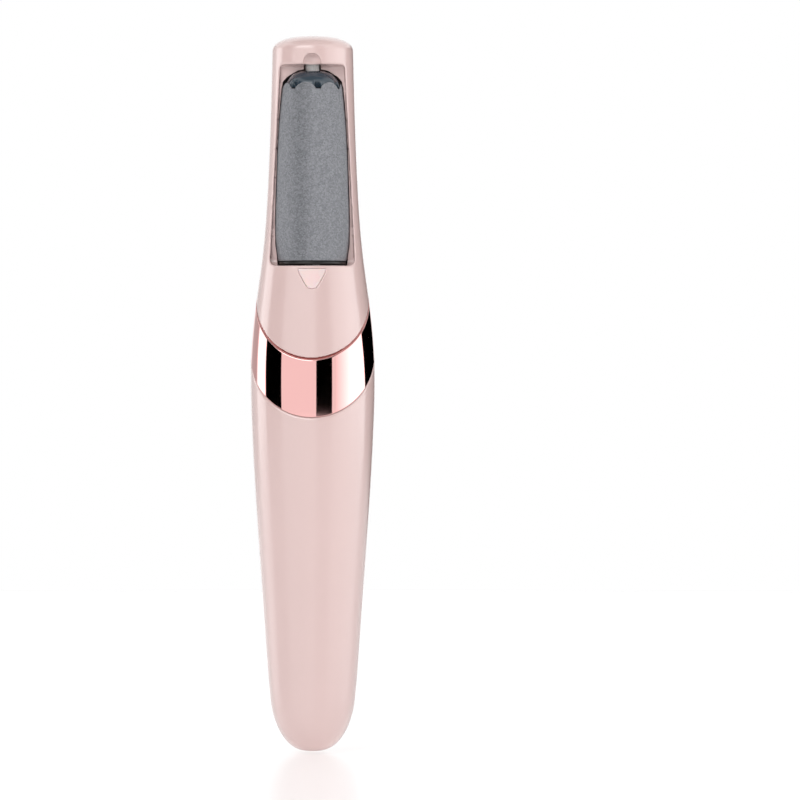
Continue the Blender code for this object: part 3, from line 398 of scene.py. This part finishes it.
# ------------------------------------------------------------------ shapes given by a distance field
def rounded_max(a, b, radius):
    """Where both fields are negative, with the edge between them rounded."""
    corner = np.hypot(np.maximum(a + radius, 0), np.maximum(b + radius, 0))
    return np.minimum(np.maximum(a, b), -radius) + corner


def body_field(x, y, z):
    """Distance outside the whole body, with its rounded base and crown."""
    rise = np.clip((z - (HEIGHT - CROWN_ROUND)) / CROWN_ROUND, 0, None)
    fall = np.clip(1 - z / BASE_ROUND, 0, None)
    width = smooth_width(np.clip(z, 0, HEIGHT))
    spread = np.maximum(np.hypot(x, y / DEPTH_RATIO) / width, 0.02)
    power = np.where(z > BASE_ROUND, CROWN_POWER, BASE_POWER)
    size = (spread ** power + rise ** ROUND_POWER + fall ** ROUND_POWER) ** (1 / power)
    outward = (spread / size) ** (power - 1) / width
    turn = rise ** (ROUND_POWER - 1) / CROWN_ROUND - fall ** (ROUND_POWER - 1) / BASE_ROUND
    upward = ROUND_POWER / power * size ** (1 - power) * turn
    return np.clip((size - 1) / np.hypot(outward, upward), -8, 8)


def below_plane(offset, y, z):
    """Distance below one of the band's slanted planes."""
    return (offset + BAND_SLOPE * y - z) / STEEPNESS


def outline_field(points, x, z):
    """Distance outside a closed outline in the X-Z plane."""
    nearest = np.full(np.shape(x), 1e9)
    inside = np.zeros(np.shape(x), bool)
    for (x0, z0), (x1, z1) in zip(points, points[1:] + points[:1]):
        dx, dz = x1 - x0, z1 - z0
        share = np.clip(((x - x0) * dx + (z - z0) * dz) / (dx * dx + dz * dz), 0, 1)
        nearest = np.minimum(nearest, np.hypot(x - x0 - share * dx, z - z0 - share * dz))
        spans = (z0 > z) != (z1 > z)
        if dz:
            inside ^= spans & (x < x0 + (z - z0) * dx / dz)
    return np.where(inside, -nearest, nearest)


def box_field(x, y, z, centre, half, radius=0.0):
    """Distance outside a box with rounded edges."""
    gaps = [abs(v - c) - h + radius for v, c, h in zip((x, y, z), centre, half)]
    outside = np.sqrt(sum(np.maximum(g, 0) ** 2 for g in gaps))
    return outside + np.minimum(np.maximum(np.maximum(gaps[0], gaps[1]), gaps[2]), 0) - radius


def post_field(x, y, z, radius, low, high, centre_x=0.0):
    """Distance outside an upright cylinder in line with the roller."""
    return np.maximum(np.hypot(x - centre_x, y - ROLLER_Y) - radius, np.maximum(low - z, z - high))


def settle_corners(values):
    """Fill the grid faces whose corners alternate, so that no edge of the mesh joins four faces."""
    changed = True
    while changed:
        changed = False
        for b, c in ((0, 1), (0, 2), (1, 2)):
            corners = []
            for shift_b, shift_c in ((0, 0), (1, 0), (1, 1), (0, 1)):
                part = [slice(None)] * 3
                part[b] = slice(shift_b, values.shape[b] - 1 + shift_b)
                part[c] = slice(shift_c, values.shape[c] - 1 + shift_c)
                corners.append(tuple(part))
            inside = [values[part] < 0 for part in corners]
            mixed = (inside[0] == inside[2]) & (inside[1] == inside[3]) & (inside[0] != inside[1])
            if mixed.any():
                changed = True
                for part in corners:
                    values[part] = np.where(mixed, np.minimum(values[part], -0.01), values[part])


def mesh_field(name, field, low, high, step, finish):
    """A closed mesh of field = 0: one vertex in each cell the surface crosses, moved onto the surface."""
    axes = [np.arange(l - step, h + 2 * step, step) for l, h in zip(low, high)]
    grid = np.meshgrid(*axes, indexing="ij")
    values = field(*grid)
    settle_corners(values)
    inside = values < 0
    shape = tuple(n - 1 for n in values.shape)
    count = np.zeros(shape)
    sums = np.zeros(shape + (3,))
    crossings = []
    for axis in range(3):
        lower = [slice(None)] * 3
        upper = [slice(None)] * 3
        lower[axis], upper[axis] = slice(0, -1), slice(1, None)
        lower, upper = tuple(lower), tuple(upper)
        crossed = inside[lower] != inside[upper]
        crossings.append((crossed, inside[lower]))
        gap = values[lower] - values[upper]
        share = np.where(crossed, values[lower] / np.where(gap == 0, 1, gap), 0)
        others = [a for a in range(3) if a != axis]
        for first in (0, 1):
            for second in (0, 1):
                part = [slice(0, n) for n in shape]
                part[others[0]] = slice(first, first + shape[others[0]])
                part[others[1]] = slice(second, second + shape[others[1]])
                part = tuple(part)
                hit = crossed[part]
                count += hit
                sums[..., axis] += np.where(hit, share[part], 0)
                sums[..., others[0]] += np.where(hit, first, 0)
                sums[..., others[1]] += np.where(hit, second, 0)
    used = count > 0
    number = np.full(shape, -1)
    number[used] = np.arange(int(used.sum()))
    index = np.argwhere(used)
    start = np.array([a[0] for a in axes])
    points = start + (index + sums[used] / count[used][:, None]) * step
    quads = []
    for axis, (crossed, starts_inside) in enumerate(crossings):
        b, c = (axis + 1) % 3, (axis + 2) % 3
        for flip in (False, True):
            at = np.argwhere(crossed & (starts_inside != flip))
            corners = []
            for back_b, back_c in ((0, 0), (1, 0), (1, 1), (0, 1)):
                cell = at.copy()
                cell[:, b] -= back_b
                cell[:, c] -= back_c
                corners.append(number[cell[:, 0], cell[:, 1], cell[:, 2]])
            quads.append(np.stack(corners[::-1] if flip else corners, axis=1))
    quads = np.concatenate(quads)

    def slope(at):
        """How fast the field grows along each axis."""
        reach = 0.02
        columns = []
        for axis in range(3):
            shift = np.zeros(3)
            shift[axis] = reach
            columns.append((field(*(at + shift).T) - field(*(at - shift).T)) / (2 * reach))
        return np.stack(columns, axis=1)

    for _ in range(4):
        lean = slope(points)
        size = np.maximum((lean ** 2).sum(axis=1), 0.05)
        move = -field(*points.T)[:, None] * lean / size[:, None]
        length = np.linalg.norm(move, axis=1, keepdims=True)
        points = points + move * np.minimum(1, step * 0.5 / np.maximum(length, 1e-9))
    normals = slope(points)
    normals /= np.maximum(np.linalg.norm(normals, axis=1, keepdims=True), 1e-9)
    mesh = bpy.data.meshes.new(name)
    mesh.from_pydata((points * MM).tolist(), [], quads.tolist())
    mesh.shade_smooth()
    mesh.normals_split_custom_set_from_vertices(normals.tolist())
    mesh.materials.append(finish)
    piece = bpy.data.objects.new(name, mesh)
    bpy.context.scene.collection.objects.link(piece)
    return piece


# ------------------------------------------------------------------ handle
SWITCH_Z, SWITCH_TILT = 66.0, math.radians(3.5901)
SWITCH_SURFACE = DEPTH_RATIO * float(smooth_width(SWITCH_Z)) * math.cos(SWITCH_TILT)
SWITCH_MIDDLE = 3                # half the slider's travel
FLOOR_TOP, FLOOR_ROUND = 4.6, 2.5    # inside of the rounded base
LIGHT_Z, LIGHT_RADIUS = 26.0, 1.5


def switch_place(y, z):
    """The slider's own frame: out of the back, and along its travel, from the middle of the slider."""
    sin, cos = math.sin(SWITCH_TILT), math.cos(SWITCH_TILT)
    return y * cos - (z - SWITCH_Z) * sin, y * sin + (z - SWITCH_Z) * cos


def handle_field(x, y, z):
    """The hollow handle, with the slider's recess and slot, the USB inlet and the light's hole."""
    rim = BAND_LOW - SEAM * STEEPNESS / 2
    outer = body_field(x, y, z)
    shell = rounded_max(outer, -below_plane(rim, y, z), SEAM_ROUND)
    shell = np.maximum(shell, -rounded_max(outer + SHELL_WALL, FLOOR_TOP - z, FLOOR_ROUND))
    out, along = switch_place(y, z)
    recess = box_field(x, out, along, (0, SWITCH_SURFACE + 3, SWITCH_MIDDLE), (4.9, 4.0, 10.7), 2.4)
    shell = rounded_max(shell, -recess, 0.5)
    slot = box_field(x, out, along, (0, SWITCH_SURFACE, SWITCH_MIDDLE), (2.2, 5.0, 5.6), 0.4)
    port = box_field(x, y, z, (0, 12, 15.4), (4.1, 7.0, 1.75), 0.6)
    light = np.maximum(np.hypot(x, z - LIGHT_Z) - LIGHT_RADIUS, 6 - y)
    shell = rounded_max(shell, -slot, 0.3)
    shell = rounded_max(shell, -port, 0.4)
    return rounded_max(shell, -light, 0.3)


def make_handle():
    return mesh_field("handle_shell_skin", handle_field, low=(-16.5, -16.1, 0), high=(16.5, 16.1, 122.0),
                      step=0.52, finish=PINK)


def make_ring():
    """The slanted metal ring: edge, outer surface, edge, then its inner surface."""
    low = BAND_LOW + SEAM * STEEPNESS / 2
    high = BAND_HIGH - SEAM * STEEPNESS / 2
    rings = edge_rings(low, upward=-1)[::-1]
    first = low + RING_ROUND * STEEPNESS
    last = high - RING_ROUND * STEEPNESS
    middle = (first + last) / 2
    for turn in np.linspace(0, math.pi, 30)[1:-1]:
        rings.append(slanted_ring(middle - (middle - first) * math.cos(turn), 0.0))
    rings += edge_rings(high, upward=1)
    for offset in np.linspace(high, low, 6):
        rings.append(slanted_ring(offset, SHELL_WALL))
    return loft("accent_ring_skin", rings, CHROME)


# ------------------------------------------------------------------ head
LENS_OUTLINE = [(-3.75, 127.9), (3.75, 127.9), (3.3, 126.6), (1.9, 124.0), (1.1, 122.9), (0, 122.6),
                (-1.1, 122.9), (-1.9, 124.0), (-3.3, 126.6)]
LENS_CLEARANCE = 0.03
LENS_BACK, LENS_POCKET_BACK = -11.4, -9.4
RIM_ROUND = 0.5                  # rounding of the window's rim
NECK_INSET, NECK_DROP = 2.1, 8.0     # the neck inside the metal ring, and how far it reaches below it
NECK_WALL = 1.0
CEILING = 126.4                  # top of the hollow under the window
BOSS_X, BOSS_RADIUS, SCREW_RADIUS = 7.8, 2.0, 1.1
BORES = ((2.3, 120.0, 132.0), (4.3, 127.6, 132.0), (3.5, 182.2, 185.8))   # spindle, seal, top bush
BAR_POCKET_Y, BAR_POCKET_RADIUS, BAR_POCKET_RISE = -10.6, 2.45, 2.5
BAR_POCKET_FLOOR, BAR_POCKET_ARCH = 181, 182.4   # where the pin's pocket starts, and where it domes


def trough_field(x, y, z):
    """The window with its flat shoulders, and the round pocket that follows the roller behind them."""
    wide = np.maximum(np.abs(x) - window_width(z), y - WINDOW_BACK)
    window = rounded_max(rounded_max(wide, z - WINDOW_TOP, 1.0), WINDOW_BOTTOM - z, 1.8)
    pocket = np.hypot(x, y - ROLLER_Y) - np.interp(z, POCKET_HEIGHTS, POCKET_RADII)
    pocket = np.maximum(pocket, np.maximum(WINDOW_BOTTOM - z, z - WINDOW_TOP - 0.5))
    return -rounded_max(-window, -pocket, 0.12)


def head_field(x, y, z):
    """The head: its neck, screw bosses, window, pin pocket, lens opening and bores."""
    outer = body_field(x, y, z)
    seam = BAND_HIGH + SEAM * STEEPNESS / 2
    head = rounded_max(outer, below_plane(seam, y, z), SEAM_ROUND)
    neck = np.maximum(outer + NECK_INSET, below_plane(BAND_LOW - NECK_DROP, y, z))
    head = -rounded_max(-head, -neck, 0.3)
    head = np.maximum(head, -np.maximum(outer + NECK_INSET + NECK_WALL, z - CEILING))
    for side in (-BOSS_X, BOSS_X):
        boss = post_field(x, y, z, BOSS_RADIUS, 112.3, CEILING + 0.5, centre_x=side)
        head = -rounded_max(-head, -boss, 0.6)
        head = np.maximum(head, -post_field(x, y, z, SCREW_RADIUS, 111.0, 119.6, centre_x=side))
    head = rounded_max(head, -trough_field(x, y, z), RIM_ROUND)
    reach = np.hypot(x, y - BAR_POCKET_Y)
    arch = np.maximum(z - BAR_POCKET_ARCH, 0) * BAR_POCKET_RADIUS / BAR_POCKET_RISE
    dome = np.hypot(reach, arch) - BAR_POCKET_RADIUS
    head = rounded_max(head, -np.maximum(dome, BAR_POCKET_FLOOR - z), 0.2)
    lens = outline_field(LENS_OUTLINE, x, z) - LENS_CLEARANCE
    head = rounded_max(head, -np.maximum(lens, y - LENS_POCKET_BACK), 0.25)
    for radius, low, high in BORES:
        head = np.maximum(head, -post_field(x, y, z, radius, low, high))
    return head


def make_head():
    return mesh_field("head_housing_skin", head_field, low=(-16.4, -16.1, 80.5), high=(16.4, 16.1, 190.0),
                      step=0.4, finish=PINK)


def lens_field(x, y, z):
    """The lens, flush with the head's outer surface."""
    front = body_field(x, y, z) + 0.05
    return rounded_max(rounded_max(outline_field(LENS_OUTLINE, x, z), front, 0.18), y - LENS_BACK, 0.2)


def make_lens():
    return mesh_field("led_lens_skin", lens_field, low=(-3.9, -15.2, 122.4), high=(3.9, -11.2, 128.1),
                      step=0.14, finish=LENS)


# ------------------------------------------------------------------ roller and pin
SLEEVE_BOTTOM, SLEEVE_TOP, SLEEVE_WALL = 130.1, 175.7, 1.2
SLEEVE_HEIGHTS = np.array([SLEEVE_BOTTOM, 134.5, 140.5, 149.0, 160.0, 168.4, SLEEVE_TOP])
SLEEVE_RADII = np.array([9.15, 9.72, 9.85, 9.6, 9.25, 8.75, 8.05])
barrel_radius = smooth_curve(SLEEVE_HEIGHTS, SLEEVE_RADII)
DOME = np.array([(2.15, 180.4), (3.6, 180.35), (5.2, 179.7), (6.6, 178.8), (7.6, 177.6), (8.05, 176.0)])
NOTCHES = 7
FIRST_NOTCH = -78.0              # degrees, round the roller's axis
NOTCH_HALF = 0.3                 # share of the half pitch that is notch
ARCH_RISE = 1.7                  # how far the grit reaches up between two notches
FINE_RELIEF, COARSE_RELIEF = 0.025, 0.02


def sleeve_radius(z):
    """Radius of the roller's grit at height z; above the sleeve it leans in over the cap's shoulder."""
    shoulder = np.interp(z, DOME[::-1, 1], DOME[::-1, 0])
    return np.where(z > SLEEVE_TOP, shoulder, barrel_radius(z))


def notch_share(angles):
    """0 at a notch and 1 half way between two notches."""
    share = np.abs(np.sin((angles - math.radians(FIRST_NOTCH)) * NOTCHES / 2))
    return np.clip((share - NOTCH_HALF) / (1 - NOTCH_HALF), 0, 1)


def make_sleeve():
    """The grit sleeve: its rough outside, its scalloped lip over the cap, and its smooth bore."""
    rows, columns = 230, 360
    random = np.random.default_rng(7)
    angles = circle_angles(columns)
    tops = SLEEVE_TOP - 0.2 + ARCH_RISE * notch_share(angles) ** 0.6
    grain = random.normal(0, 1, (rows, columns))
    coarse = random.normal(0, 1, (rows, columns))
    for _ in range(3):
        for axis in (0, 1):
            coarse = (coarse + np.roll(coarse, 1, axis) + np.roll(coarse, -1, axis)) / 3
    relief = FINE_RELIEF * np.clip(grain, -2, 2) + COARSE_RELIEF * coarse / coarse.std()
    rings = []
    for i in range(rows):
        z = SLEEVE_BOTTOM + (tops - SLEEVE_BOTTOM) * i / (rows - 1)
        edge = min(i, rows - 1 - i) / 4
        radius = sleeve_radius(z) - 0.08 + relief[i] * min(edge, 1) - 0.12 * max(1 - edge, 0) ** 2
        rings.append(roller_ring(radius, z, angles))
    lip = tops - 0.12
    for share, depth in ((0.0, 0.42), (0.15, 0.5), (0.35, 0.55)):
        z = lip - (lip - (SLEEVE_TOP - 0.3)) * share
        rings.append(roller_ring(sleeve_radius(z) - depth, z, angles))
    for z in (SLEEVE_TOP - 0.4, *SLEEVE_HEIGHTS[-2:0:-1], SLEEVE_BOTTOM + 0.15):
        rings.append(roller_ring(sleeve_radius(z) - SLEEVE_WALL, z, angles))
    return loft("abrasive_sleeve_skin", rings, GRIT, smooth_angle=70)


def make_cap():
    """The glossy dome, stepped down under the grit's scallops and dented at its notches."""
    profile = [(2.25, 179.6), (2.25, 180.22), (2.42, 180.38)]
    profile += [(r, float(np.interp(r, DOME[:, 0], DOME[:, 1]))) for r in (2.8, 3.2, 3.6, 4.0, 4.5, 5.0, 5.4)]
    profile += [(5.85, 179.1), (6.3, 178.62), (6.7, 178.1), (7.05, 177.45), (7.3, 176.8), (7.42, 176.2),
                (7.4, 175.9), (6.3, 175.9), (2.25, 176.0)]
    angles = circle_angles(280)
    rings = []
    for radius, z in profile:
        near = np.exp(-((notch_share(angles) / 0.15) ** 2)) * math.exp(-((z - 176.3) / 0.7) ** 2)
        dent = 1.2 * near if radius > 6.5 else 0
        rings.append(roller_ring(radius - dent, z, angles))
    return loft("roller_end_cap_skin", rings[::-1], SLATE, smooth_angle=50)


def make_base_cap():
    """The black cap under the sleeve, with its rim and the sleeve of its socket."""
    corners = [(2.7, 129.1), (9.0, 129.1), (9.0, 129.95), (5.9, 129.95),
               (5.9, 136.0), (3.9, 136.0), (3.9, 139.5), (2.7, 139.5)]
    angles = circle_angles(96)
    rings = [roller_ring(radius, z, angles) for radius, z in rounded_profile(corners, 0.35)]
    return loft("roller_base_cap_skin", rings, BLACK)


def make_pin():
    """White pin with a rounded tip and a fine slot down its front."""
    profile = [(0.35, 184.1), (0.8, 184.0), (1.2, 183.75), (1.5, 183.4), (1.72, 182.95), (1.85, 182.4),
               (1.85, 175.35), (1.95, 175.2), (2.45, 175.2), (2.55, 175.1), (2.55, 173.9), (2.45, 173.8),
               (1.95, 173.8), (1.85, 173.7), (1.85, 168.3), (1.65, 168.05)]
    pin_radius, slot_half, slot_depth = 1.85, 0.16, 0.22
    angles = circle_angles(180)
    turn = angles - math.radians(-76)
    groove = np.exp(-((np.arctan2(np.sin(turn), np.cos(turn)) * pin_radius / slot_half) ** 2))
    rings = []
    for radius, z in profile[::-1]:
        depth = slot_depth if 176 < z < 184 else 0.0
        rings.append(roller_ring(radius - np.minimum(groove * depth, radius * 0.5), z, angles))
    return loft("pivot_pin_skin", rings, WHITE, closed=False)


# ------------------------------------------------------------------ slider on the back
SLIDER_HALF_WIDTH, SLIDER_HALF_LENGTH, SLIDER_RISE = 4.4, 7.2, 1.2


def slider_field(x, y, z):
    """A slab with rounded corners and five grooves across it."""
    out, along = switch_place(y, z)
    top = SWITCH_SURFACE + SLIDER_RISE
    slab = box_field(x, out, along, (0, top - 0.95, 0), (SLIDER_HALF_WIDTH, 0.95, SLIDER_HALF_LENGTH))
    corner = box_field(x, 0, along, (0, 0, 0), (SLIDER_HALF_WIDTH, 9.0, SLIDER_HALF_LENGTH), 2.1)
    slab = rounded_max(rounded_max(slab, corner, 0.4), out - top, 0.45)
    for ridge in (-4, -2, 0, 2, 4):
        groove = box_field(x, out, along, (0, top + 0.35, ridge), (3.2, 0.75, 0.4), 0.3)
        slab = rounded_max(slab, -groove, 0.2)
    return slab


def make_slider():
    return mesh_field("switch_slider_skin", slider_field, low=(-4.6, 12.0, 58.0), high=(4.6, 16.4, 74.0),
                      step=0.15, finish=PINK)


# ------------------------------------------------------------------ stage; lengths here are metres
PANEL_DISTANCE, PANEL_STEPS = 2.0, 12
ROOF_RADIUS, ROOF_HEIGHT = 1.5, 2.6
FLOOR_RADIUS, FLOOR_HEIGHT = 1.25, -0.0006
OPEN_WHITE = (1.0, 1.0, 1.0, 1.0)


def stage_material(name, tone, strength, rough=1.0, gloss=0.0):
    """A plain surface from black to white that also gives off white light."""
    nodes = Nodes(name).set(Roughness=rough, Emission_Strength=strength, Specular_IOR_Level=gloss)
    return nodes.set(Base_Color=(tone, tone, tone, 1.0), Emission_Color=OPEN_WHITE).material


def disc(radius, height, corners):
    """The corners and the one face of a level disc."""
    rim = [(radius * math.cos(a), radius * math.sin(a), height) for a in circle_angles(corners)]
    return rim, [tuple(range(corners))]


def make_screen(name, vertices, faces, strength):
    """A light panel, or a dark one at strength 0, that the camera doesn't see."""
    mesh = bpy.data.meshes.new(name)
    mesh.from_pydata(vertices, [], faces)
    mesh.materials.append(stage_material(name, 0.0, strength))
    panel = bpy.data.objects.new(name, mesh)
    bpy.context.scene.collection.objects.link(panel)
    panel.visible_camera = False


def make_panel(name, start, stop, low, high, strength, lean=(0, 0)):
    """A curved screen standing round the object. Angles are degrees from the front, positive to the
    right; lean is how far each edge's angle moves over the screen's height."""
    vertices = []
    for i in range(PANEL_STEPS + 1):
        for z, upper in ((low, 0), (high, 1)):
            first, last = start + lean[0] * upper, stop + lean[1] * upper
            turn = math.radians(first + (last - first) * i / PANEL_STEPS)
            vertices.append((PANEL_DISTANCE * math.sin(turn), -PANEL_DISTANCE * math.cos(turn), z))
    faces = [(2 * i, 2 * i + 2, 2 * i + 3, 2 * i + 1) for i in range(PANEL_STEPS)]
    make_screen(name, vertices, faces, strength)


def make_floor():
    rim, face = disc(FLOOR_RADIUS, 0.0, 64)
    mesh = bpy.data.meshes.new("floor")
    mesh.from_pydata(rim, [], face)
    mesh.materials.append(stage_material("white_floor", 0.8, 0.25, 0.26, 0.46))
    floor = bpy.data.objects.new("floor", mesh)
    floor.location.z = FLOOR_HEIGHT
    bpy.context.scene.collection.objects.link(floor)


def make_stage():
    """A white world and floor, with light and dark screens for the gloss to mirror."""
    world = bpy.data.worlds.new("studio")
    world.use_nodes = True
    world.node_tree.nodes["Background"].inputs["Color"].default_value = OPEN_WHITE
    world.node_tree.nodes["Background"].inputs["Strength"].default_value = 1.0
    bpy.context.scene.world = world
    make_floor()
    make_panel("flag_left", -95, -58, -0.5, 2.2, 0.0)
    make_panel("flag_front", 7, 36, -0.5, 2.2, 0.0)
    make_panel("strip_left", -122, -96, -0.2, 0.8, 2.05)
    make_panel("strip_right", 80, 122, -0.3, 0.8, 2.1, (0, -27))
    make_panel("flag_back", 122, 164, -0.3, 0.8, 0.0, (-27, 0))
    make_panel("grey_left", -156, -125, -0.3, 0.9, 0.55)
    for i in range(9):
        make_panel("ramp_right_%d" % i, 44 + 4 * i, 48 + 4 * i, -0.2, 0.8, 1.0 + 0.13 * (i + 1))
    make_panel("softbox_left", -48, 0, 0.9, 2.4, 3.4)
    make_panel("softbox_right", 40, 66, 1.0, 2.4, 1.6)
    make_screen("roof", *disc(ROOF_RADIUS, ROOF_HEIGHT, 48), 0.3)


def make_camera():
    """A long lens, level with the middle of the object."""
    data = bpy.data.cameras.new("camera")
    data.lens = 250
    data.sensor_width = 36
    data.clip_end = 60
    camera = bpy.data.objects.new("camera", data)
    camera.location = (0.0232, -1.477, 0.0933)
    camera.rotation_euler = (math.pi / 2, 0, 0)
    bpy.context.scene.collection.objects.link(camera)
    bpy.context.scene.camera = camera


def attach(piece, body, node):
    """Let a piece ride its body in place of its CAD node."""
    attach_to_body(piece, body)
    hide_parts(node)


finish_cad_nodes()
attach(make_handle(), "wand", "handle_shell")
attach(make_ring(), "wand", "accent_ring")
attach(make_head(), "wand", "head_housing")
attach(make_lens(), "wand", "led_lens")
attach(make_sleeve(), "roller", "abrasive_sleeve")
attach(make_cap(), "roller", "roller_end_cap")
attach(make_base_cap(), "roller", "roller_base_cap")
attach(make_pin(), "pin", "pivot_pin")
attach(make_slider(), "switch", "switch_slider")
make_stage()
make_camera()
bpy.context.scene.view_settings.view_transform = "Standard"

bpy.context.view_layer.update()
